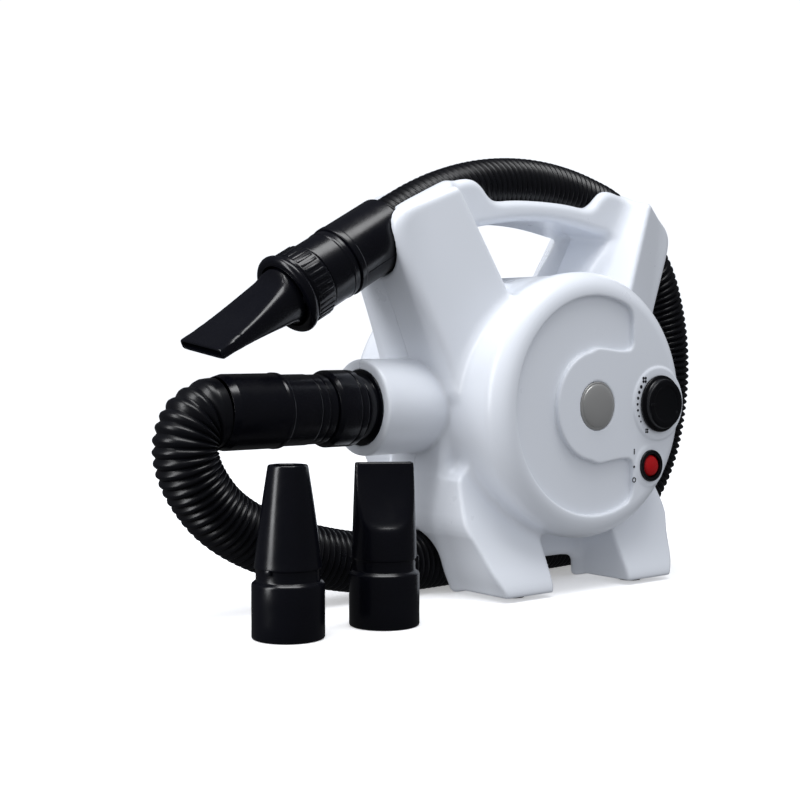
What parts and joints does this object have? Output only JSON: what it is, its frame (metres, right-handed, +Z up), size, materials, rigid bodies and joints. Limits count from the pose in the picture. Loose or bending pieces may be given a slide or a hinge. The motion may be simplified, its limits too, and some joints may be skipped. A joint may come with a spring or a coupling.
{
  "type": "pet dryer",
  "caption": "Portable pet grooming blower with carrying handle, speed knob, rocker switch, wrapped corrugated hose with wand, and spare cone and flat nozzles standing beside it.",
  "frame": {"origin": "centre of the bounding box at floor level, measured without the flexible hose", "axes": "+Z up, front face with knob and badge towards -Y, air outlet towards -X"},
  "size_m": [0.5497, 0.2234, 0.3473],
  "materials": {
    "white_plastic": "glossy moulded",
    "black_plastic": "satin moulded",
    "black_gloss": "semi-gloss moulded",
    "hose_plastic": "semi-gloss corrugated",
    "nozzle_plastic": "semi-gloss moulded",
    "red_plastic": "translucent gloss",
    "satin_metal": "satin",
    "print_ink": "printed",
    "foam": "open-cell foam",
    "pad_rubber": "matte rubber",
    "screw_steel": "zinc plated",
    "die_cast": "as cast",
    "lamination": "stacked sheet",
    "copper_wire": "enamelled wire",
    "copper_bar": "turned",
    "bright_steel": "ground",
    "brass_holder": "pressed",
    "carbon": "sintered",
    "spun_aluminium": "pressed",
    "inner_plastic": "moulded",
    "mica": "sheet",
    "heater_wire": "oxidised wire",
    "board": "solder mask",
    "lead_red": "insulation"
  },
  "bodies": {
    "blower": {"front_shell": "white_plastic", "rear_shell": "white_plastic", "badge_disc": "satin_metal", "dial_marks": "print_ink", "switch_body": "black_plastic", "outlet_bush": "black_plastic", "hose_connector": "black_plastic", "coupling_sleeve": "black_gloss", "hose": "hose_plastic", "wand_cuff": "black_gloss", "wand_end": "black_gloss", "foot_pads": "pad_rubber", "shell_screws": "screw_steel", "cord_gland": "pad_rubber", "motor_brackets": "die_cast", "field_core": "lamination", "field_windings": "copper_wire", "front_bearing": "bright_steel", "rear_bearing": "bright_steel", "brush_holders": "brass_holder", "carbon_brushes": "carbon", "fan_housing": "inner_plastic", "motor_mounts": "pad_rubber", "heater_frame": "mica", "heater_coil": "heater_wire", "thermal_cutout": "bright_steel", "speed_board": "board", "potentiometer": "bright_steel", "inner_leads": "lead_red"},
    "knob": {"speed_knob": "black_plastic", "pot_spindle": "bright_steel"},
    "rocker": {"rocker_cap": "red_plastic"},
    "rotor": {"armature": "lamination", "armature_windings": "copper_wire", "commutator": "copper_bar", "motor_shaft": "bright_steel", "impeller": "spun_aluminium"},
    "hose_lock": {"lock_ring": "black_plastic"},
    "tip_collar": {"nozzle_collar": "black_plastic"},
    "tip_nozzle": {"flat_nozzle": "nozzle_plastic"},
    "intake_cover": {"filter_cover": "black_plastic", "filter_foam": "foam", "cover_latches": "black_plastic"},
    "cone_attachment": {"spare_cone_nozzle": "nozzle_plastic"},
    "flat_attachment": {"spare_flat_nozzle": "nozzle_plastic"}
  },
  "joints": [
    {"name": "speed_turn", "type": "hinge", "parent": "blower", "child": "knob", "pos_m": [0.15325, -0.08825, 0.146], "axis": [0, -1, 0], "range_deg": [-280, 0]},
    {"name": "switch_rock", "type": "hinge", "parent": "blower", "child": "rocker", "pos_m": [0.14425, -0.08575, 0.096], "axis": [1, 0, 0], "range_deg": [0, 12]},
    {"name": "rotor_spin", "type": "hinge", "parent": "blower", "child": "rotor", "pos_m": [0.08325, 0.00575, 0.146], "axis": [0, 1, 0], "continuous": true},
    {"name": "hose_lock_turn", "type": "hinge", "parent": "blower", "child": "hose_lock", "pos_m": [-0.10175, 0.00575, 0.146], "axis": [1, 0, 0], "range_deg": [0, 35]},
    {"name": "tip_collar_turn", "type": "hinge", "parent": "blower", "child": "tip_collar", "pos_m": [-0.13105, 0.00575, 0.23864], "axis": [-0.8755, 0, -0.4833], "range_deg": [0, 30]},
    {"name": "tip_nozzle_pull", "type": "slide", "parent": "tip_collar", "child": "tip_nozzle", "axis": [-0.8755, 0, -0.4833], "range_m": [0, 0.03]},
    {"name": "intake_cover_pull", "type": "slide", "parent": "blower", "child": "intake_cover", "axis": [0, 1, 0], "range_m": [0, 0.04]},
    {"name": "cone_lift", "type": "slide", "parent": "blower", "child": "cone_attachment", "axis": [0, 0, 1], "range_m": [0, 0.15]},
    {"name": "flat_lift", "type": "slide", "parent": "blower", "child": "flat_attachment", "axis": [0, 0, 1], "range_m": [0, 0.15]}
  ]
}
